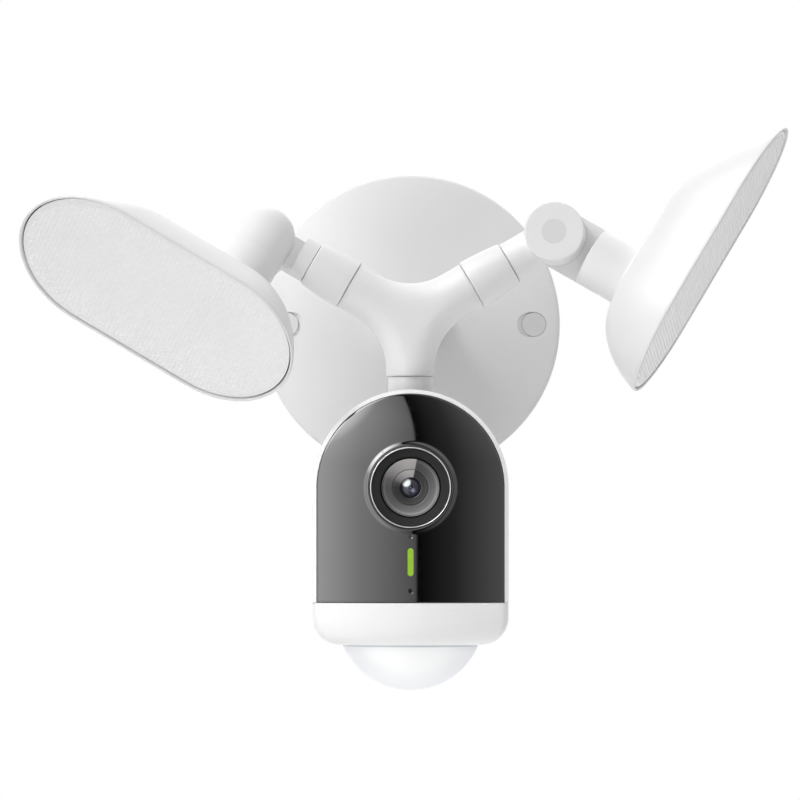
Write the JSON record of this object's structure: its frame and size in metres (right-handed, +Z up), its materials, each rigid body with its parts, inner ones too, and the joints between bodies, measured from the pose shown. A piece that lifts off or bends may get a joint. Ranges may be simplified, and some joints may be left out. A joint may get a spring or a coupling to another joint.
{
  "type": "floodlight security camera",
  "caption": "Wall-mounted outdoor security camera under a three-way arm, with aimable floodlights on knuckle arms, a motion-sensor dome and a round wall canopy.",
  "frame": {"origin": "centre of the canopy's wall side, on the wall plane", "axes": "+Y into the wall, -Y towards the front, +Z up, +X to the right seen from the front"},
  "size_m": [0.345, 0.1584, 0.2528],
  "materials": {
    "white_paint": "satin powder coat on die-cast aluminium",
    "white_shell": "satin white polycarbonate",
    "grey_plastic": "satin",
    "black_gloss": "high gloss",
    "black_plastic": "fine matt",
    "bright_ring": "polished",
    "lens_glass": "coated glass",
    "green_light": "lit light guide",
    "frosted_dome": "frosted",
    "diffuser": "prismatic",
    "rubber": "matt",
    "zinc_steel": "zinc plated",
    "brass": "turned",
    "nylon": "smooth",
    "green_screw": "dyed",
    "circuit_board": "solder mask",
    "components": "moulded",
    "led_plate": "white-masked plate",
    "led_chip": "phosphor"
  },
  "bodies": {
    "base": {"canopy": "white_paint", "wall_gasket": "rubber", "mounting_bracket": "zinc_steel", "canopy_screws": "zinc_steel", "screw_caps": "grey_plastic", "driver_board": "circuit_board", "driver_components": "components", "terminal_block": "components", "ground_screw": "green_screw", "stem_nut": "zinc_steel", "y_body": "white_paint", "neck_snap_ring": "zinc_steel"},
    "right_collar": {"right_collar": "white_paint"},
    "left_collar": {"left_collar": "white_paint"},
    "right_arm": {"right_arm": "white_paint", "right_arm_oring": "rubber", "right_tilt_washer": "nylon", "right_pivot_cap": "grey_plastic"},
    "right_lamp": {"right_lamp_housing": "white_paint", "right_lamp_gasket": "rubber", "right_diffuser": "diffuser", "right_led_board": "led_plate", "right_led_chips": "led_chip", "right_led_screws": "zinc_steel", "right_pivot_bolt": "zinc_steel", "right_pivot_insert": "brass"},
    "left_arm": {"left_arm": "white_paint", "left_arm_oring": "rubber", "left_tilt_washer": "nylon", "left_pivot_cap": "grey_plastic"},
    "left_lamp": {"left_lamp_housing": "white_paint", "left_lamp_gasket": "rubber", "left_diffuser": "diffuser", "left_led_board": "led_plate", "left_led_chips": "led_chip", "left_led_screws": "zinc_steel", "left_pivot_bolt": "zinc_steel", "left_pivot_insert": "brass"},
    "camera_neck": {"camera_neck": "white_paint"},
    "camera_head": {"head_housing": "white_shell", "front_panel": "black_gloss", "panel_gasket": "rubber", "lens_ring": "black_gloss", "lens_bezel": "bright_ring", "lens_barrel": "black_plastic", "lens_glass": "lens_glass", "sensor_board": "circuit_board", "status_light": "green_light", "light_sensor": "black_plastic", "microphone": "black_plastic", "main_board": "circuit_board", "speaker": "black_plastic", "bottom_cover": "white_shell", "pir_dome": "frosted_dome", "pir_board": "circuit_board", "pir_sensors": "zinc_steel", "tilt_pin": "zinc_steel", "tilt_washers": "nylon"},
    "reset_button": {"reset_button": "white_shell"}
  },
  "joints": [
    {"name": "right_collar_turn", "type": "hinge", "parent": "base", "child": "right_collar", "pos_m": [0, -0.085, 0], "axis": [0.866, 0, 0.5], "range_deg": [0, 90]},
    {"name": "right_arm_swivel", "type": "hinge", "parent": "base", "child": "right_arm", "pos_m": [0, -0.085, 0], "axis": [0.866, 0, 0.5], "range_deg": [-110, 18]},
    {"name": "right_lamp_tilt", "type": "hinge", "parent": "right_arm", "child": "right_lamp", "pos_m": [0.06556, -0.085, 0.03785], "axis": [0.0877, 0.9845, -0.1519], "range_deg": [-50, 40]},
    {"name": "left_collar_turn", "type": "hinge", "parent": "base", "child": "left_collar", "pos_m": [0, -0.085, 0], "axis": [-0.866, 0, 0.5], "range_deg": [0, 90]},
    {"name": "left_arm_swivel", "type": "hinge", "parent": "base", "child": "left_arm", "pos_m": [0, -0.085, 0], "axis": [-0.866, 0, 0.5], "range_deg": [-50, 80]},
    {"name": "left_lamp_tilt", "type": "hinge", "parent": "left_arm", "child": "left_lamp", "pos_m": [-0.06556, -0.085, 0.03785], "axis": [0.3287, -0.7536, 0.5693], "range_deg": [-79, 11]},
    {"name": "camera_pan", "type": "hinge", "parent": "base", "child": "camera_neck", "pos_m": [0, -0.085, -0.0255], "axis": [0, 0, 1], "range_deg": [-60, 60]},
    {"name": "camera_tilt", "type": "hinge", "parent": "camera_neck", "child": "camera_head", "pos_m": [0, -0.085, -0.05], "axis": [1, 0, 0], "range_deg": [-12, 30]},
    {"name": "reset_press", "type": "slide", "parent": "camera_head", "child": "reset_button", "axis": [0, -1, 0], "range_m": [0, 0.0008], "stiffness_N_per_m": 600}
  ]
}
